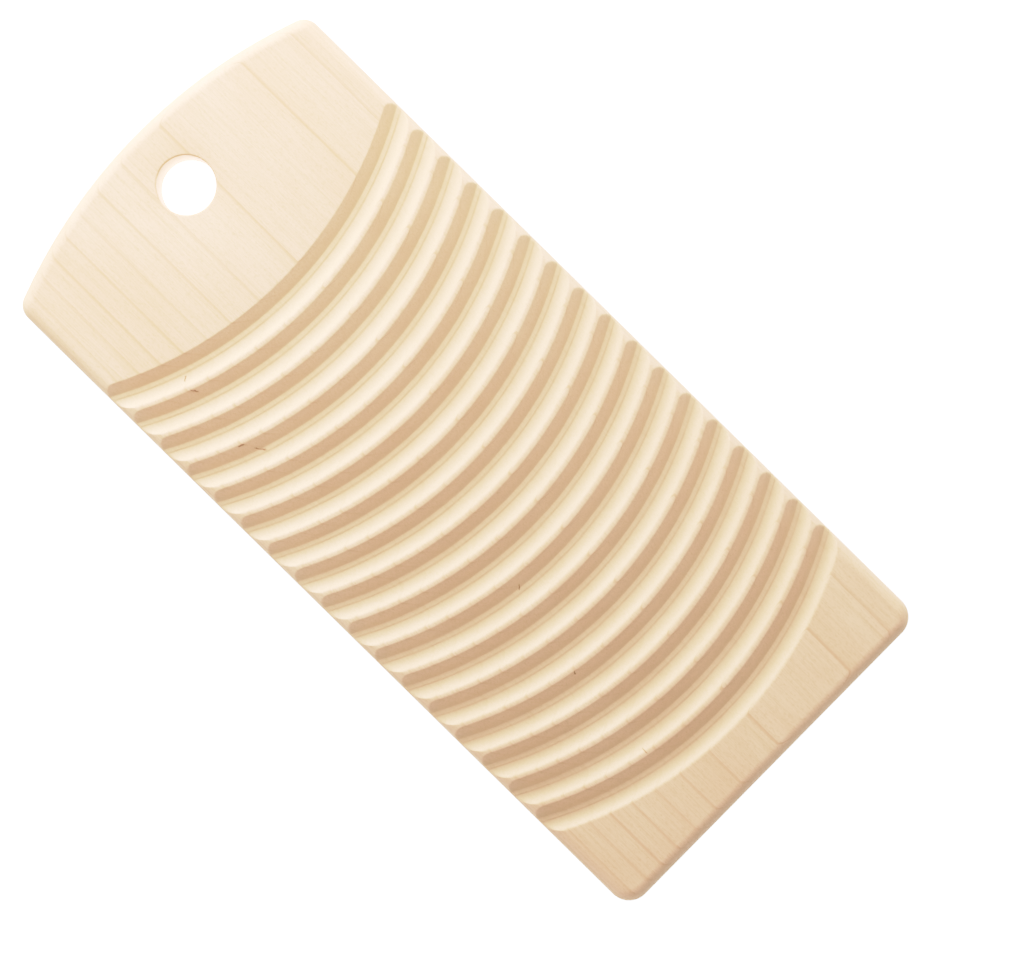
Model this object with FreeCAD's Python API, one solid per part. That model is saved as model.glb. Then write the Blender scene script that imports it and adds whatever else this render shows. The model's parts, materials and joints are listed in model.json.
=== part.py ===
"""A one-piece wooden hand washboard with curved rubbing grooves and a hanging hole.

Frame: millimetres, +Z up, the board lying on its back. The origin is the middle of the
back face, +Y runs along the board to the crowned head with the hanging hole, and the
grooves are cut in the face at the top.
"""

import FreeCAD, Part
import math
import os
from FreeCAD import Vector

# The blank
BOARD_LENGTH = 350.0
BOARD_WIDTH = 161.0
BOARD_THICKNESS = 15.0
CROWN_RADIUS = 220.0
HEAD_CORNER_RADIUS = 7.0
FOOT_CORNER_RADIUS = 9.0
EDGE_RADIUS = 5.5

# The hanging hole
HOLE_DIAMETER = 23.2
HOLE_FROM_HEAD = 28.7
HOLE_EDGE_RADIUS = 0.8

# The grooves: equal arcs, shifted along the board, that bulge towards the foot
GROOVE_COUNT = 17
GROOVE_PITCH = 14.63
GROOVE_ARC_RADIUS = 162.0
LAST_CREST_FROM_FOOT = 34.95

# One groove's section, from its crest edge towards the foot
CREST_RADIUS = 0.6
WALL_ANGLE = 31.0
WALL_WIDTH = 5.05
STRIP_WIDTH = 1.85
STRIP_RISE = 0.15
GUTTER_WIDTH = 0.4
GUTTER_DROP = 0.2
HOLLOW_START_ANGLE = 8.0
HOLLOW_END_ANGLE = 46.0
SHOULDER_RADIUS = 2.0

# How far the grooves' cutter runs past the sides of the board and above its face
SIDE_OVERRUN = 8.0
TOP_OVERRUN = 2.0
TANGENT_LIFT = 0.02

HEAD_Y = BOARD_LENGTH / 2
FOOT_Y = -BOARD_LENGTH / 2
HALF_WIDTH = BOARD_WIDTH / 2


def upright_edges(solid, y_sign):
    """The corner edges of the blank at its head (y_sign +1) or its foot (y_sign -1)."""
    return [
        edge for edge in solid.Edges
        if edge.BoundBox.ZLength > BOARD_THICKNESS / 2
        and edge.BoundBox.XLength < 0.01
        and abs(abs(edge.CenterOfMass.x) - HALF_WIDTH) < 0.01
        and edge.CenterOfMass.y * y_sign > 0
    ]


def blank():
    """The flat blank: straight sides and foot, crowned head, rounded corners."""
    crown_drop = CROWN_RADIUS - math.sqrt(CROWN_RADIUS**2 - HALF_WIDTH**2)
    foot_left = Vector(-HALF_WIDTH, FOOT_Y, 0)
    foot_right = Vector(HALF_WIDTH, FOOT_Y, 0)
    head_right = Vector(HALF_WIDTH, HEAD_Y - crown_drop, 0)
    head_left = Vector(-HALF_WIDTH, HEAD_Y - crown_drop, 0)
    outline = Part.Wire([
        Part.makeLine(foot_left, foot_right),
        Part.makeLine(foot_right, head_right),
        Part.Arc(head_right, Vector(0, HEAD_Y, 0), head_left).toShape(),
        Part.makeLine(head_left, foot_left),
    ])
    solid = Part.Face(outline).extrude(Vector(0, 0, BOARD_THICKNESS))
    solid = solid.makeFillet(HEAD_CORNER_RADIUS, upright_edges(solid, 1))
    return solid.makeFillet(FOOT_CORNER_RADIUS, upright_edges(solid, -1))


def eased(solid):
    """The blank with its front and back rims rounded over."""
    rims = [edge for edge in solid.Edges if edge.BoundBox.ZLength < 0.01]
    return solid.makeFillet(EDGE_RADIUS, rims)


def bored(solid):
    """The board with its hanging hole, the rims of the hole lightly rounded."""
    hole_y = HEAD_Y - HOLE_FROM_HEAD
    drill = Part.makeCylinder(HOLE_DIAMETER / 2, BOARD_THICKNESS + 2, Vector(0, hole_y, -1))
    solid = solid.cut(drill)
    rims = [
        edge for edge in solid.Edges
        if isinstance(edge.Curve, Part.Circle)
        and abs(edge.Curve.Radius - HOLE_DIAMETER / 2) < 0.01
        and edge.BoundBox.ZLength < 0.01
    ]
    return solid.makeFillet(HOLE_EDGE_RADIUS, rims)


class SectionPath:
    """A chain of edges drawn in a plane across the board, heading towards the foot."""

    def __init__(self, start):
        self.point = start
        self.edges = []

    def line(self, run, rise):
        """A straight step of run towards the foot and rise upwards."""
        end = self.point + Vector(0, -run, rise)
        self.edges.append(Part.makeLine(self.point, end))
        self.point = end

    def arc(self, radius, start_angle, end_angle):
        """An arc whose heading climbs from start_angle to end_angle, or falls between them."""
        sense = 1 if end_angle > start_angle else -1
        middle = self.point + self.arc_step(radius, start_angle, (start_angle + end_angle) / 2, sense)
        end = self.point + self.arc_step(radius, start_angle, end_angle, sense)
        self.edges.append(Part.Arc(self.point, middle, end).toShape())
        self.point = end

    @staticmethod
    def arc_step(radius, start_angle, end_angle, sense):
        """The move along an arc while its heading turns from start_angle to end_angle."""
        first = math.radians(start_angle)
        last = math.radians(end_angle)
        run = sense * radius * (math.sin(last) - math.sin(first))
        rise = sense * radius * (math.cos(first) - math.cos(last))
        return Vector(0, -run, rise)


def groove_section(x, crest_y):
    """The outline of what one groove removes, in the plane at x."""
    level = BOARD_THICKNESS + TANGENT_LIFT
    half_turn = math.radians(WALL_ANGLE / 2)
    start = Vector(x, crest_y + CREST_RADIUS * math.tan(half_turn), level)
    path = SectionPath(start)
    path.arc(CREST_RADIUS, 0, -WALL_ANGLE)
    wall_run = crest_y - WALL_WIDTH
    run = path.point.y - wall_run
    path.line(run, -run * math.tan(math.radians(WALL_ANGLE)))
    path.line(STRIP_WIDTH, STRIP_RISE)
    path.line(GUTTER_WIDTH, -GUTTER_DROP)
    first = math.radians(HOLLOW_START_ANGLE)
    last = math.radians(HOLLOW_END_ANGLE)
    hollow_rise = level - path.point.z - SHOULDER_RADIUS * (1 - math.cos(last))
    hollow_radius = hollow_rise / (math.cos(first) - math.cos(last))
    path.arc(hollow_radius, HOLLOW_START_ANGLE, HOLLOW_END_ANGLE)
    path.arc(SHOULDER_RADIUS, HOLLOW_END_ANGLE, 0)
    path.line(0, TOP_OVERRUN)
    path.line(path.point.y - start.y, 0)
    path.edges.append(Part.makeLine(path.point, start))
    return Part.Wire(path.edges)


def groove_cutter(crest_y):
    """What one groove removes: its section moved along an arc, shifted and never turned."""
    reach = HALF_WIDTH + SIDE_OVERRUN
    end_y = crest_y + GROOVE_ARC_RADIUS - math.sqrt(GROOVE_ARC_RADIUS**2 - reach**2)
    start = Vector(-reach, end_y, BOARD_THICKNESS)
    middle = Vector(0, crest_y, BOARD_THICKNESS)
    end = Vector(reach, end_y, BOARD_THICKNESS)
    spine = Part.Wire([Part.Arc(start, middle, end).toShape()])
    sweep = Part.BRepOffsetAPI.MakePipeShell(spine)
    sweep.setTrihedronMode(start, Vector(1, 0, 0))
    sweep.add(groove_section(-reach, end_y), False, False)
    sweep.build()
    sweep.makeSolid()
    return sweep.shape()


def grooved(solid):
    """The board with every groove cut."""
    cutter = groove_cutter(FOOT_Y + LAST_CREST_FROM_FOOT)
    cutters = []
    for number in range(GROOVE_COUNT):
        copy = cutter.copy()
        copy.translate(Vector(0, number * GROOVE_PITCH, 0))
        cutters.append(copy)
    return solid.cut(cutters)


def main():
    """Build the board and write it to its own file."""
    os.makedirs("parts", exist_ok=True)
    board = grooved(bored(eased(blank()))).Solids[0]
    print("board valid:", board.isValid(), "volume:", round(board.Volume), "mm3")
    board.exportStep("parts/board.step")


main()
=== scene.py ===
"""The looks of the wooden washboard: its milled and sanded surface, its wood, and a photo studio.

Lengths are in millimetres up to the point where a mesh or an object is made.
"""

import json
import math
import random

import bmesh
import bpy
import numpy as np
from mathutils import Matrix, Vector


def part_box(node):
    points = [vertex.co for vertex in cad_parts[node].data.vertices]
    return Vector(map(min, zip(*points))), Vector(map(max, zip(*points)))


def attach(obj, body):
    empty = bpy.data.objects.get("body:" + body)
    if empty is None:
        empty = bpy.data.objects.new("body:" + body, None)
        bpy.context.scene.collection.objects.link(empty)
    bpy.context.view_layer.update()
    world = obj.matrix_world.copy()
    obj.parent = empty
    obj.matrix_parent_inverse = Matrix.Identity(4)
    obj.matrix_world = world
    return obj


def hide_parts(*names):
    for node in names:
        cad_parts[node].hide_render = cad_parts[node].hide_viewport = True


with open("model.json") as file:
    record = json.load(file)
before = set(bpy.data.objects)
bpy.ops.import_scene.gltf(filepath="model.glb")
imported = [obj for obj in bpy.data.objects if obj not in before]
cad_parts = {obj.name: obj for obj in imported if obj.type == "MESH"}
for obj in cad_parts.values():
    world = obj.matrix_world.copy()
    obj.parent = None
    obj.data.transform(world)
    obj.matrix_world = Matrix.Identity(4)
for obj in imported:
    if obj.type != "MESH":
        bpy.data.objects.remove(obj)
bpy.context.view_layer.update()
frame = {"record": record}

MM = 0.001

board_low, board_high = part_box("board")
hole = next(m for m in frame["record"]["mounts"] if m["name"] == "hanging_hole")

# The board
THICKNESS = (board_high[2] - board_low[2]) / MM
HALF_WIDTH = board_high[0] / MM
HEAD_Y = board_high[1] / MM
FOOT_Y = board_low[1] / MM
CROWN_RADIUS = 220.0
HEAD_CORNER_RADIUS = 7.0
FOOT_CORNER_RADIUS = 9.0
EDGE_RADIUS = 5.5

# The hanging hole
HOLE_Y = hole["pos_m"][1] / MM
HOLE_RADIUS = hole["dims"]["r_mm"]
HOLE_EDGE_RADIUS = (THICKNESS - hole["dims"]["length_mm"]) / 2

# The grooves
GROOVE_COUNT = 17
GROOVE_PITCH = 14.63
GROOVE_ARC_RADIUS = 162.0
LAST_CREST_FROM_FOOT = 34.95
FIRST_CREST_Y = FOOT_Y + LAST_CREST_FROM_FOOT + (GROOVE_COUNT - 1) * GROOVE_PITCH
WALL_ANGLE = math.radians(31.0)
WALL_WIDTH = 5.05
WALL_DEPTH = WALL_WIDTH * math.tan(WALL_ANGLE)
STRIP_END = 6.9
STRIP_RISE = 0.15
GUTTER = 7.3
GUTTER_DROP = 0.2
GUTTER_DEPTH = WALL_DEPTH - STRIP_RISE + GUTTER_DROP
HOLLOW_START = math.radians(8.0)
HOLLOW_END = math.radians(46.0)
SHOULDER_RADIUS = 2.0
LAND_LEAD = 0.8

# How finely the surface is divided
ROWS_PER_GROOVE = 34
COLUMN_STEP = 1.2
BAND_WIDTH = EDGE_RADIUS + 1.0
TIP_COLUMNS = 7
ROUND_COLUMNS = 14
SIDE_STEPS = 2
OUTLINE_STEP = 2.0
CORNER_STEP = math.radians(5.0)
HOLE_STATIONS = 120
TABLE_STEP = 0.02


def arc_rise(x):
    """How far a groove's arc has climbed towards the head at x."""
    return GROOVE_ARC_RADIUS - np.sqrt(GROOVE_ARC_RADIUS**2 - np.square(x))


# ---------------------------------------------------------------- the grooves' section

def section_line():
    """One groove's section: distances from its crest edge towards the foot, and depths."""
    shoulder_drop = SHOULDER_RADIUS * (1 - math.cos(HOLLOW_END))
    hollow_rise = GUTTER_DEPTH - shoulder_drop
    hollow_radius = hollow_rise / (math.cos(HOLLOW_START) - math.cos(HOLLOW_END))
    angle = np.linspace(HOLLOW_START, HOLLOW_END, 24)
    hollow_run = GUTTER + hollow_radius * (np.sin(angle) - math.sin(HOLLOW_START))
    hollow_depth = GUTTER_DEPTH - hollow_radius * (math.cos(HOLLOW_START) - np.cos(angle))
    angle = np.linspace(HOLLOW_END, 0, 12)
    shoulder_run = hollow_run[-1] + SHOULDER_RADIUS * (math.sin(HOLLOW_END) - np.sin(angle))
    shoulder_depth = SHOULDER_RADIUS * (1 - np.cos(angle))
    run = np.concatenate([[0, WALL_WIDTH, STRIP_END], hollow_run, shoulder_run[1:], [GROOVE_PITCH]])
    depth = np.concatenate(
        [[0, WALL_DEPTH, WALL_DEPTH - STRIP_RISE], hollow_depth, shoulder_depth[1:], [0]]
    )
    return run, depth


def softened_section(softness):
    """Depths over one pitch, every TABLE_STEP from the lead-in land, with all corners eased."""
    run, depth = section_line()
    distance = np.arange(-LAND_LEAD, GROOVE_PITCH - LAND_LEAD, TABLE_STEP)
    sharp = np.interp(distance % GROOVE_PITCH, run, depth)
    reach = int(4 * softness / TABLE_STEP)
    offset = np.arange(-reach, reach + 1) * TABLE_STEP
    kernel = np.exp(-0.5 * (offset / softness) ** 2)
    kernel /= kernel.sum()
    padded = np.concatenate([sharp[-reach:], sharp, sharp[:reach]])
    return distance, np.convolve(padded, kernel, mode="valid")


SECTION_DISTANCE, CRISP_DEPTH = softened_section(0.15)
WORN_DEPTH = softened_section(0.26)[1]


def waves(seed, count, shortest, longest):
    """A smooth, repeatable wobble of a place, from a few sine waves: a function of one array."""
    draw = random.Random(seed)
    terms = [
        (2 * math.pi / draw.uniform(shortest, longest), draw.uniform(0, 2 * math.pi))
        for _ in range(count)
    ]
    return lambda place: sum(np.sin(rate * place + phase) for rate, phase in terms) / count


WEAR_WAVES = waves(3, 5, 17, 120)
DEPTH_WAVES = waves(8, 4, 60, 260)


def groove_depth(distance, x):
    """Depth of the cut at a distance from the first crest edge towards the foot, and at x."""
    within = (distance + LAND_LEAD) % GROOVE_PITCH - LAND_LEAD
    crisp = np.interp(within, SECTION_DISTANCE, CRISP_DEPTH)
    worn = np.interp(within, SECTION_DISTANCE, WORN_DEPTH)
    number = np.floor((distance + LAND_LEAD) / GROOVE_PITCH)
    wear = np.clip(0.5 + 0.9 * WEAR_WAVES(x + 211 * number), 0, 1)
    scale = 1 + 0.012 * DEPTH_WAVES(x + 173 * number)
    depth = (crisp + (worn - crisp) * wear) * scale
    return np.where(depth < 0.003, 0.0, depth)


def row_distances():
    """Where the rows of the mesh lie: closest together where the section turns most."""
    bend = np.abs(np.gradient(np.gradient(CRISP_DEPTH, TABLE_STEP), TABLE_STEP))
    weight = np.cumsum(1 + 2.2 * np.minimum(bend, 1.5))
    weight = (weight - weight[0]) / (weight[-1] - weight[0])
    steps = np.arange(ROWS_PER_GROOVE) / ROWS_PER_GROOVE
    one = np.interp(steps, weight, SECTION_DISTANCE)
    rows = [one + number * GROOVE_PITCH for number in range(GROOVE_COUNT)]
    return np.concatenate(rows + [[GROOVE_COUNT * GROOVE_PITCH - LAND_LEAD]])


ROWS = row_distances()


# ---------------------------------------------------------------- the outline

class Outline:
    """Stations round the board: a point, its outward normal, and its groove row if it has one."""

    def __init__(self):
        self.points = []
        self.normals = []
        self.slides = []
        self.rows = []

    def add(self, point, normal, slide=0.0, row=None):
        """One station. slide is how far its line inwards follows the grooves' arcs, 0 to 1."""
        self.points.append(point)
        self.normals.append(normal)
        self.slides.append(slide)
        self.rows.append(-LAND_LEAD if row is None else row)

    def arc(self, centre, radius, start, end, step):
        """Stations along an arc, without its last point."""
        count = max(1, round(abs(end - start) / step))
        for number in range(count):
            angle = start + (end - start) * number / count
            normal = (math.cos(angle), math.sin(angle))
            self.add((centre[0] + radius * normal[0], centre[1] + radius * normal[1]), normal)

    def side(self, sign, ys, slides, rows=None):
        """Stations up or down one straight side."""
        for number, (y, slide) in enumerate(zip(ys, slides)):
            row = None if rows is None else rows[number]
            self.add((sign * HALF_WIDTH, y), (sign, 0.0), slide, row)


def board_outline():
    """The whole outline, counter-clockwise from the left end of the foot."""
    outline = Outline()
    foot_x = HALF_WIDTH - FOOT_CORNER_RADIUS
    foot_y = FOOT_Y + FOOT_CORNER_RADIUS
    crown_y = HEAD_Y - CROWN_RADIUS
    head_x = HALF_WIDTH - HEAD_CORNER_RADIUS
    reach = CROWN_RADIUS - HEAD_CORNER_RADIUS
    head_y = crown_y + math.sqrt(reach**2 - head_x**2)
    head_angle = math.atan2(head_y - crown_y, head_x)
    right = math.pi / 2

    side_rise = arc_rise(HALF_WIDTH)
    row_ys = FIRST_CREST_Y - ROWS + side_rise
    low_ys = np.linspace(foot_y, row_ys[-1], 19)[:-1]
    high_ys = np.linspace(row_ys[0], head_y, 19)[1:-1]
    low_slides = np.linspace(0, 1, 19)[:-1]
    high_slides = np.linspace(1, 0, 19)[1:-1]

    for x in np.linspace(-foot_x, foot_x, round(2 * foot_x / OUTLINE_STEP) + 1)[:-1]:
        outline.add((x, FOOT_Y), (0.0, -1.0))
    outline.arc((foot_x, foot_y), FOOT_CORNER_RADIUS, -right, 0, CORNER_STEP)
    outline.side(1, low_ys, low_slides)
    outline.side(1, row_ys[::-1], np.ones(len(ROWS)), ROWS[::-1])
    outline.side(1, high_ys, high_slides)
    outline.arc((head_x, head_y), HEAD_CORNER_RADIUS, 0, head_angle, CORNER_STEP)
    crown_step = OUTLINE_STEP / CROWN_RADIUS
    outline.arc((0, crown_y), CROWN_RADIUS, head_angle, math.pi - head_angle, crown_step)
    outline.arc((-head_x, head_y), HEAD_CORNER_RADIUS, math.pi - head_angle, math.pi, CORNER_STEP)
    outline.side(-1, high_ys[::-1], high_slides[::-1])
    outline.side(-1, row_ys, np.ones(len(ROWS)), ROWS)
    outline.side(-1, low_ys[::-1], low_slides[::-1])
    outline.arc((-foot_x, foot_y), FOOT_CORNER_RADIUS, math.pi, math.pi + right, CORNER_STEP)
    return outline


def soft_minimum(a, b, width):
    """The lower of two heights, with the corner between them eased over width."""
    overlap = np.maximum(width - np.abs(a - b), 0)
    return np.minimum(a, b) - np.where(width > 0, overlap**2 / (4 * np.maximum(width, 1e-6)), 0)


def round_over(inset):
    """Height of the front surface at an inset from the edge of an ungrooved board."""
    short = np.clip(EDGE_RADIUS - inset, 0, EDGE_RADIUS)
    return THICKNESS - EDGE_RADIUS + np.sqrt(EDGE_RADIUS**2 - short**2)


def edge_band(outline):
    """The rim of the board as a closed grid: front land, rounded edge, side, rounded back."""
    points = np.array(outline.points)
    normals = np.array(outline.normals)
    slides = np.array(outline.slides)[:, None]
    rows = np.array(outline.rows)[:, None]
    side_depth = groove_depth(rows[:, 0], points[:, 0])
    meet = np.arccos(1 - side_depth / EDGE_RADIUS)[:, None]
    meet_inset = EDGE_RADIUS * (1 - np.sin(meet))

    share = np.linspace(0, 1, TIP_COLUMNS + 1)[None, :]
    tip_inset = BAND_WIDTH + share * (meet_inset - BAND_WIDTH)
    turn = meet + np.linspace(0, 1, ROUND_COLUMNS + 1)[None, 1:] * (math.pi / 2 - meet)
    round_inset = EDGE_RADIUS * (1 - np.sin(turn))
    inset = np.concatenate([tip_inset, round_inset], axis=1)
    x = points[:, :1] - normals[:, :1] * inset
    y = points[:, 1:] - normals[:, 1:] * inset
    y = y + slides * (arc_rise(np.minimum(np.abs(x), HALF_WIDTH)) - arc_rise(HALF_WIDTH))
    depth = groove_depth(rows, x)
    ease = 0.35 * np.clip(depth / 0.7, 0, 1)
    z = soft_minimum(round_over(inset), THICKNESS - depth, ease)

    count = len(points)
    side_z = np.linspace(THICKNESS - EDGE_RADIUS, EDGE_RADIUS, SIDE_STEPS + 2)[1:]
    back_turn = np.linspace(math.pi / 2, 0, 9)[1:]
    back_inset = np.append(EDGE_RADIUS * (1 - np.sin(back_turn)), BAND_WIDTH)
    back_z = np.append(EDGE_RADIUS * (1 - np.cos(back_turn)), 0.0)
    lower_inset = np.concatenate([np.zeros(len(side_z)), back_inset])[None, :]
    lower_z = np.tile(np.concatenate([side_z, back_z]), (count, 1))
    x_low = points[:, :1] - normals[:, :1] * lower_inset
    y_low = points[:, 1:] - normals[:, 1:] * lower_inset
    return np.stack([
        np.concatenate([x, x_low], axis=1),
        np.concatenate([y, y_low], axis=1),
        np.concatenate([z, lower_z], axis=1),
    ], axis=-1)


def grooved_field():
    """The grooved middle of the front as a grid whose rows follow the grooves' arcs."""
    half = HALF_WIDTH - BAND_WIDTH
    columns = np.linspace(-half, half, 2 * round(half / COLUMN_STEP) + 1)
    x, distance = np.meshgrid(columns, ROWS)
    y = FIRST_CREST_Y - distance + arc_rise(x)
    return np.stack([x, y, THICKNESS - groove_depth(distance, x)], axis=-1)


def hole_wall():
    """The wall of the hanging hole with its two rounded rims, as a closed grid."""
    turn = np.linspace(0, math.pi / 2, 6)
    rim_radius = HOLE_RADIUS + HOLE_EDGE_RADIUS * (1 - np.sin(turn))
    rim_drop = HOLE_EDGE_RADIUS * (1 - np.cos(turn))
    radius = np.concatenate([rim_radius, rim_radius[::-1]])
    z = np.concatenate([THICKNESS - rim_drop, rim_drop[::-1]])
    angle = np.linspace(0, 2 * math.pi, HOLE_STATIONS, endpoint=False)[:, None]
    return np.stack([
        radius * np.cos(angle),
        HOLE_Y + radius * np.sin(angle),
        np.tile(z, (HOLE_STATIONS, 1)),
    ], axis=-1)


# ---------------------------------------------------------------- the mesh

def add_grid(bm, points, closed):
    """Adds a grid of points as quads. A closed grid joins its last row to its first."""
    verts = [[bm.verts.new(p * MM) for p in row] for row in points]
    last = len(verts) if closed else len(verts) - 1
    for number in range(last):
        here = verts[number]
        there = verts[(number + 1) % len(verts)]
        for column in range(len(here) - 1):
            bm.faces.new((here[column], here[column + 1], there[column + 1], there[column]))


def fill_level(bm, height, keep):
    """Fills the flat area between the open edges at a height whose middles keep accepts."""
    def chosen(edge):
        ends = [v.co / MM for v in edge.verts]
        level = all(abs(end.z - height) < 1e-3 for end in ends)
        return edge.is_boundary and level and keep((ends[0] + ends[1]) / 2)

    edges = [edge for edge in bm.edges if chosen(edge)]
    bmesh.ops.triangle_fill(bm, edges=edges, use_beauty=True)


def make_board():
    """The board as one closed mesh in place of the CAD solid."""
    bm = bmesh.new()
    add_grid(bm, edge_band(board_outline()), closed=True)
    add_grid(bm, grooved_field(), closed=False)
    add_grid(bm, hole_wall(), closed=True)
    bmesh.ops.remove_doubles(bm, verts=bm.verts, dist=0.002 * MM)
    fill_level(bm, THICKNESS, lambda middle: middle.y > 0)
    fill_level(bm, THICKNESS, lambda middle: middle.y < 0)
    fill_level(bm, 0.0, lambda middle: True)
    bmesh.ops.recalc_face_normals(bm, faces=bm.faces)
    for face in bm.faces:
        face.smooth = True
    mesh = bpy.data.meshes.new("board_surface")
    open_edges = sum(1 for edge in bm.edges if not edge.is_manifold)
    print("board mesh:", len(bm.faces), "faces,", open_edges, "open edges")
    bm.to_mesh(mesh)
    bm.free()
    board = bpy.data.objects.new("washboard", mesh)
    bpy.context.scene.collection.objects.link(board)
    return board


# ---------------------------------------------------------------- materials

class Shader:
    """Adds nodes to one material, with values or other nodes' outputs as inputs."""

    def __init__(self, name):
        self.material = bpy.data.materials.new(name)
        self.material.use_nodes = True
        self.tree = self.material.node_tree
        self.bsdf = self.tree.nodes["Principled BSDF"]

    def add(self, kind, inputs=None, **settings):
        """A node of a kind, its settings, and its inputs by name or number."""
        node = self.tree.nodes.new(kind)
        for key, value in settings.items():
            setattr(node, key, value)
        for key, value in (inputs or {}).items():
            self.put(node.inputs[key], value)
        return node

    def put(self, socket, value):
        """Links an output to a socket, or sets the socket's value."""
        if isinstance(value, bpy.types.NodeSocket):
            self.tree.links.new(value, socket)
        else:
            socket.default_value = value

    def math(self, operation, first, second=0.0, third=0.0):
        """The result of a Math node."""
        node = self.add("ShaderNodeMath", {0: first, 1: second, 2: third}, operation=operation)
        return node.outputs[0]

    def span(self, value, low, high, out_low=0.0, out_high=1.0):
        """value mapped smoothly from low..high to out_low..out_high."""
        inputs = {"Value": value, 1: low, 2: high, 3: out_low, 4: out_high}
        node = self.add("ShaderNodeMapRange", inputs, interpolation_type="SMOOTHSTEP")
        return node.outputs["Result"]

    def noise(self, vector, scale, detail=2.0, roughness=0.5):
        """A noise value from 0 to 1."""
        inputs = {"Vector": vector, "Scale": scale, "Detail": detail, "Roughness": roughness}
        return self.add("ShaderNodeTexNoise", inputs).outputs["Fac"]

    def stretch(self, vector, x, y, z):
        """A vector scaled by axis."""
        node = self.add("ShaderNodeVectorMath", {0: vector, 1: (x, y, z)}, operation="MULTIPLY")
        return node.outputs[0]

    def dot(self, vector, direction):
        """How far a vector reaches along a direction."""
        node = self.add("ShaderNodeVectorMath", {0: vector, 1: direction}, operation="DOT_PRODUCT")
        return node.outputs["Value"]

    def mix(self, factor, first, second):
        """Two colours mixed."""
        node = self.add("ShaderNodeMix", data_type="RGBA")
        self.put(node.inputs["Factor"], factor)
        self.put(node.inputs[6], first)
        self.put(node.inputs[7], second)
        return node.outputs[2]


def rgb(red, green, blue):
    """A linear colour from display values of 0 to 255."""
    def linear(value):
        value /= 255
        return value / 12.92 if value <= 0.04045 else ((value + 0.055) / 1.055) ** 2.4

    return (linear(red), linear(green), linear(blue), 1.0)


# The log's rings, as a flat-sawn board cuts them
RING_AXIS_X = 28.8
RING_AXIS_HEIGHT = 150.0
RING_STEP = 4.27
RING_SHIFT = 0.30
RING_STRENGTHS = (1.0, 0.55, 0.8, 0.5, 0.85, 0.9, 0.5, 0.55, 0.7, 0.5)


def ring_lines(s, place, x, y, z):
    """How dark the wood is for its annual rings: 0 between them, 1 in the darkest line."""
    bend = s.noise(s.stretch(place, 0.006, 0.0035, 0.006), 1.0, 2.0)
    flutter = s.noise(s.stretch(place, 0.05, 0.012, 0.05), 1.0, 2.0)
    sway = s.math("MULTIPLY_ADD", bend, 5.0, -2.5)
    sway = s.math("MULTIPLY_ADD", flutter, 0.9, sway)
    across = s.math("ADD", s.math("SUBTRACT", x, RING_AXIS_X), sway)
    across = s.math("MULTIPLY_ADD", y, -0.006, across)
    above = s.math("SUBTRACT", RING_AXIS_HEIGHT + THICKNESS, z)
    sideways = s.math("ABSOLUTE", across)
    squares = s.math("ADD", s.math("POWER", sideways, 2.0), s.math("POWER", above, 2.0))
    radius = s.math("SQRT", squares)
    turns = s.math("DIVIDE", s.math("SUBTRACT", radius, RING_AXIS_HEIGHT), RING_STEP)
    turns = s.math("SUBTRACT", turns, RING_SHIFT)
    number = s.math("FLOOR", turns)
    within = s.math("FRACT", turns)
    place_in_ramp = s.math("DIVIDE", s.math("ADD", number, 1.5), 12.0)
    strengths = s.add("ShaderNodeValToRGB", {"Fac": place_in_ramp})
    ramp = strengths.color_ramp
    ramp.interpolation = "CONSTANT"
    for index, strength in enumerate((0.5,) + RING_STRENGTHS):
        stop = ramp.elements[0] if index == 0 else ramp.elements.new(index / 12)
        stop.color = (strength, strength, strength, 1)
    ramp.elements[-1].position = 11 / 12
    ramp.elements[-1].color = (0.5, 0.5, 0.5, 1)
    # how far apart two rings come out on the face, so that each line keeps one width
    slant = s.math("MULTIPLY", radius, RING_STEP)
    slant = s.math("DIVIDE", slant, s.math("ADD", sideways, 5.0))
    past = s.math("MULTIPLY", within, slant)
    ahead = s.math("MULTIPLY", s.math("SUBTRACT", 1.0, within), slant)
    line = s.math("MAXIMUM", s.span(past, 0.2, 1.3, 1.0, 0.0), s.span(ahead, 0.0, 0.4, 1.0, 0.0))
    late = s.span(within, 0.0, 0.5, 1.0, 0.0)
    return line, late, strengths.outputs["Color"]


# Torn fibres in the grooves: x, y, heading in degrees, and half the length
TORN_FIBRES = (
    (-54.0, 94.1, 25, 1.5),
    (-54.6, 88.0, -59, 2.0),
    (-57.1, 60.0, -35, 1.6),
    (-53.0, 54.0, -56, 2.8),
    (-20.6, -55.7, 45, 1.5),
    (-28.9, -94.4, 60, 1.0),
    (-31.5, -135.0, 80, 1.6),
)
FIBRE_HALF_WIDTH = 0.45


def torn_fibres(s, place):
    """1 in the short dark strokes where the cutter tore the wood, 0 elsewhere."""
    wobble = s.math("MULTIPLY_ADD", s.noise(place, 0.45), 2.0, -1.0)
    total = 0.0
    for x, y, heading, half_length in TORN_FIBRES:
        turn = math.radians(heading)
        ends = {0: place, 1: (x, y, 0.0)}
        offset = s.add("ShaderNodeVectorMath", ends, operation="SUBTRACT").outputs[0]
        along = s.dot(offset, (math.cos(turn), math.sin(turn), 0.0))
        across = s.math("ADD", s.dot(offset, (-math.sin(turn), math.cos(turn), 0.0)), wobble)
        width = s.span(s.math("ABSOLUTE", across), 0.0, FIBRE_HALF_WIDTH, 1.0, 0.0)
        length = s.span(s.math("ABSOLUTE", along), half_length / 2, half_length, 1.0, 0.0)
        total = s.math("MAXIMUM", total, s.math("MULTIPLY", width, length))
    return s.math("MULTIPLY", total, s.span(s.dot(place, (0.0, 0.0, 1.0)), 5.0, 6.0))


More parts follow.
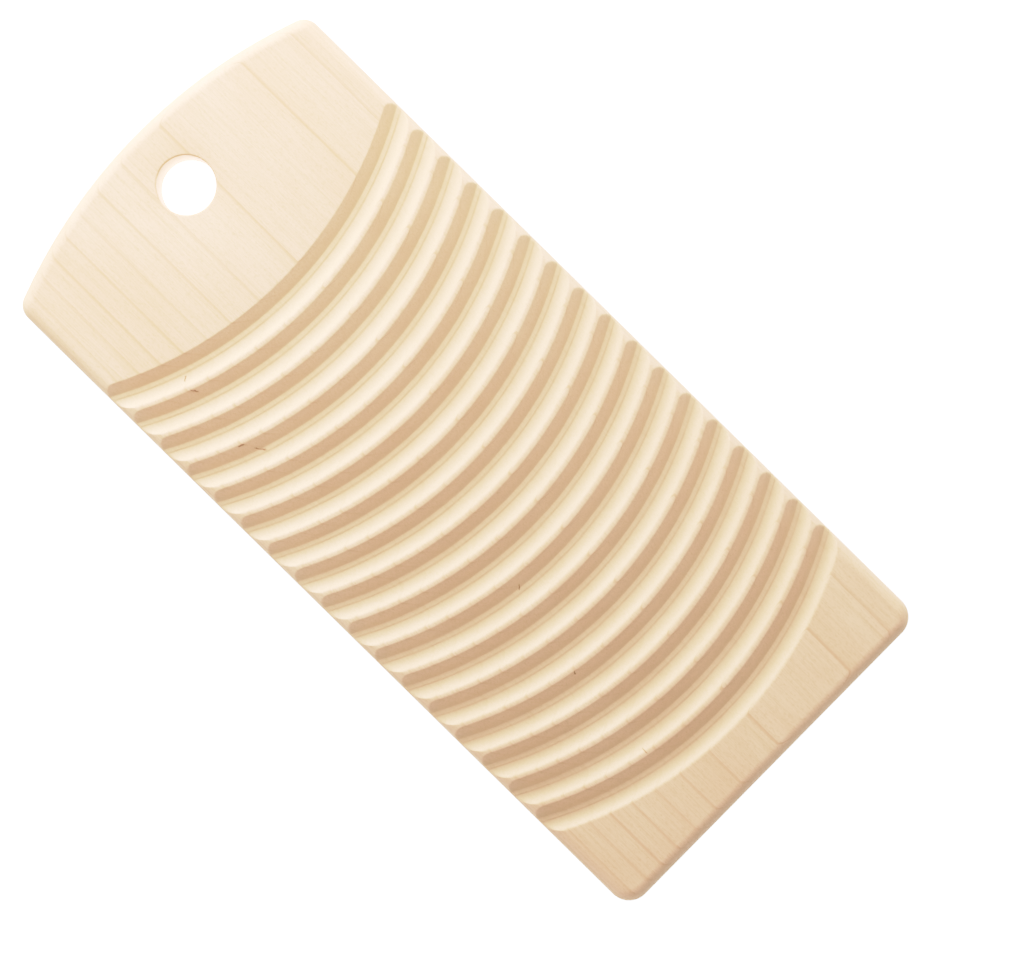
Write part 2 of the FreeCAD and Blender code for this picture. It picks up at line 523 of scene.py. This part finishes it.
# The wood's colours, and the painted shade of the groove bottoms
PALE = rgb(233, 186, 151)
PALEST = rgb(240, 196, 162)
BLUSH = rgb(236, 188, 155)
LATE_WOOD = rgb(222, 179, 137)
RING_LINE = rgb(194, 140, 102)
FIBRE = rgb(208, 168, 126)
FINE_FIBRE = rgb(192, 152, 110)
GRIT = rgb(196, 156, 112)
END_GRAIN = rgb(224, 191, 149)
# painted shade: the darker colour given to the groove bottoms for the shade that falls in them
PAINTED_GROOVE_SHADE = rgb(212, 178, 137)
TORN_WOOD = rgb(150, 96, 60)


def wood():
    """Pale, close-grained, flat-sawn wood, sanded on its faces and milled in its grooves, with
    painted shade darkening the groove bottoms.
    """
    s = Shader("pale_wood")
    coords = s.add("ShaderNodeTexCoord").outputs["Object"]
    place = s.stretch(coords, 1 / MM, 1 / MM, 1 / MM)
    parts = s.add("ShaderNodeSeparateXYZ", {0: place})
    x, y, z = (parts.outputs[axis] for axis in "XYZ")
    line, late, strength = ring_lines(s, place, x, y, z)

    fibres = s.noise(s.stretch(place, 1.1, 0.02, 1.1), 1.0, 3.0, 0.65)
    fine = s.noise(s.stretch(place, 5.5, 0.09, 5.5), 1.0, 2.0, 0.6)
    blotch = s.noise(s.stretch(place, 0.035, 0.014, 0.035), 1.0, 3.0, 0.55)
    blush = s.noise(s.stretch(place, 0.12, 0.05, 0.12), 1.0, 2.0, 0.5)
    grit = s.noise(s.stretch(place, 1.7, 0.8, 1.7), 1.0, 2.0, 0.6)

    # across the fibres the wood is deeper in colour, on the milled slopes and at the ends
    normal = s.add("ShaderNodeNewGeometry").outputs["Normal"]
    facing = s.add("ShaderNodeSeparateXYZ", {0: normal}).outputs
    end_grain = s.span(s.math("ABSOLUTE", facing["Y"]), 0.08, 0.95)

    depth = s.math("SUBTRACT", THICKNESS, z)
    # the grooves only, for the fainter ring lines and the painted groove shade: the rounded sides
    # and the back lie as far below the front, but face another way
    upward = s.span(facing["Z"], 0.45, 0.65)
    milled = s.math("MULTIPLY", s.span(depth, 0.1, 1.2), upward)
    # painted shade: darker from 1 mm down in the grooves, for the shade in their lower walls,
    # strips and gutters
    groove_shade_mask = s.math("MULTIPLY", s.span(depth, 1.0, 2.9), upward)
    line = s.math("MULTIPLY", line, s.math("MULTIPLY_ADD", milled, -0.65, 1.0))

    colour = s.mix(s.span(blotch, 0.3, 0.7), PALE, PALEST)
    colour = s.mix(s.span(blush, 0.35, 0.75, 0.0, 0.3), colour, BLUSH)
    colour = s.mix(s.math("MULTIPLY", late, s.math("MULTIPLY", strength, 0.12)), colour, LATE_WOOD)
    colour = s.mix(s.math("MULTIPLY", line, s.math("MULTIPLY", strength, 0.50)), colour, RING_LINE)
    colour = s.mix(s.span(fibres, 0.35, 0.8, 0.0, 0.42), colour, FIBRE)
    colour = s.mix(s.span(fine, 0.45, 0.8, 0.0, 0.38), colour, FINE_FIBRE)
    colour = s.mix(s.span(grit, 0.45, 0.8, 0.0, 0.40), colour, GRIT)
    colour = s.mix(s.math("MULTIPLY", end_grain, 0.55), colour, END_GRAIN)
    # painted shade laid into the groove bottoms
    colour = s.mix(s.math("MULTIPLY", groove_shade_mask, 0.55), colour, PAINTED_GROOVE_SHADE)
    colour = s.mix(s.math("MULTIPLY", torn_fibres(s, place), 0.9), colour, TORN_WOOD)

    s.put(s.bsdf.inputs["Base Color"], colour)
    s.put(s.bsdf.inputs["Roughness"], s.span(fibres, 0.2, 0.8, 0.5, 0.62))
    s.bsdf.inputs["Specular IOR Level"].default_value = 0.35
    height = s.math("ADD", s.math("MULTIPLY", fibres, 0.5), s.math("MULTIPLY", fine, 0.5))
    bump = s.add("ShaderNodeBump", {"Height": height, "Strength": 0.25, "Distance": 0.05 * MM})
    s.put(s.bsdf.inputs["Normal"], bump.outputs["Normal"])
    return s.material


# ---------------------------------------------------------------- the studio

FLOOR_GLOW = 2.2
FLOOR_REACH = 6.0
FLOOR_GAP = 0.0002


def make_floor():
    """A wide, pale, lit floor under the board. Its light stays off the board's own surfaces."""
    mesh = bpy.data.meshes.new("floor")
    level = board_low[2] - FLOOR_GAP
    signs = ((-1, -1), (1, -1), (1, 1), (-1, 1))
    corners = [(x * FLOOR_REACH, y * FLOOR_REACH, level) for x, y in signs]
    mesh.from_pydata(corners, [], [(0, 1, 2, 3)])
    s = Shader("floor_white")
    s.put(s.bsdf.inputs["Base Color"], (0.82, 0.82, 0.82, 1.0))
    s.put(s.bsdf.inputs["Roughness"], 0.8)
    s.put(s.bsdf.inputs["Emission Color"], (1.0, 1.0, 1.0, 1.0))
    s.put(s.bsdf.inputs["Emission Strength"], FLOOR_GLOW)
    mesh.materials.append(s.material)
    floor = bpy.data.objects.new("floor", mesh)
    floor.visible_diffuse = False
    bpy.context.scene.collection.objects.link(floor)


# Where the lights stand, in metres, and their power
KEY_PLACE = (0.12, 0.55, 0.30)
RIGHT_PLACE = (0.8, 0.1, 0.16)
LEFT_PLACE = (-0.8, -0.1, 0.16)
KEY_SIZE = 0.5
PANEL_SIZE = 0.3
KEY_POWER = 8.8
ROOM_LIGHT = 0.65
RIGHT_POWER = 4.5
LEFT_POWER = 1.2
HOLE_POWER = 0.0045


def add_softbox(name, place, target, size, power):
    """A square area light aimed at a point."""
    light = bpy.data.lights.new(name, "AREA")
    light.size = size
    light.energy = power
    lamp = bpy.data.objects.new(name, light)
    lamp.location = place
    lamp.rotation_mode = "QUATERNION"
    lamp.rotation_quaternion = (Vector(target) - Vector(place)).to_track_quat("-Z", "Y")
    bpy.context.scene.collection.objects.link(lamp)
    return lamp


def light_studio():
    """A low softbox beyond the head, panels at the sides, a glow in the hole and the room."""
    centre = (0.0, 0.0, board_high[2])
    add_softbox("key", KEY_PLACE, centre, KEY_SIZE, KEY_POWER)
    add_softbox("right", RIGHT_PLACE, centre, PANEL_SIZE, RIGHT_POWER)
    add_softbox("left", LEFT_PLACE, centre, PANEL_SIZE, LEFT_POWER)
    hole_foot = (0.0, HOLE_Y * MM, board_low[2])
    hole_top = (0.0, HOLE_Y * MM, board_high[2])
    glow = add_softbox("hole glow", hole_foot, hole_top, 2 * HOLE_RADIUS * MM, HOLE_POWER)
    glow.data.shape = "DISK"
    glow.visible_camera = False
    world = bpy.data.worlds.new("room")
    world.use_nodes = True
    background = world.node_tree.nodes["Background"]
    background.inputs["Color"].default_value = (1.0, 1.0, 1.0, 1.0)
    background.inputs["Strength"].default_value = ROOM_LIGHT
    bpy.context.scene.world = world


# Scene brightness against display brightness: straight up to the middle, then a soft roll-off
WHITE_LEVEL = 2.4
FILM_CURVE = ((0.5, 0.5), (0.65, 0.62), (0.8, 0.705), (1.0, 0.775), (1.2, 0.83), (1.6, 0.905))


def set_film_response():
    """The soft highlights of a bright product photograph."""
    view = bpy.context.scene.view_settings
    view.view_transform = "Standard"
    view.use_curve_mapping = True
    mapping = view.curve_mapping
    mapping.white_level = (WHITE_LEVEL, WHITE_LEVEL, WHITE_LEVEL)
    for bright, shown in FILM_CURVE:
        mapping.curves[3].points.new(bright / WHITE_LEVEL, shown)
    mapping.update()


CAMERA_LENS = 74.8
CAMERA_HEIGHT = 826.5
CAMERA_X = 7.3
CAMERA_Y = -24.25
CAMERA_ROLL = math.radians(-45.45)


def add_camera():
    """The camera looks straight down on the face, with the board turned across the frame."""
    data = bpy.data.cameras.new("camera")
    data.lens = CAMERA_LENS
    data.sensor_width = 36.0
    camera = bpy.data.objects.new("camera", data)
    camera.location = Vector((CAMERA_X, CAMERA_Y, THICKNESS + CAMERA_HEIGHT)) * MM
    camera.rotation_euler = (0.0, 0.0, CAMERA_ROLL)
    bpy.context.scene.collection.objects.link(camera)
    bpy.context.scene.camera = camera


board = make_board()
board.data.materials.append(wood())
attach(board, "root")
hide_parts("board")
make_floor()
light_studio()
add_camera()
set_film_response()
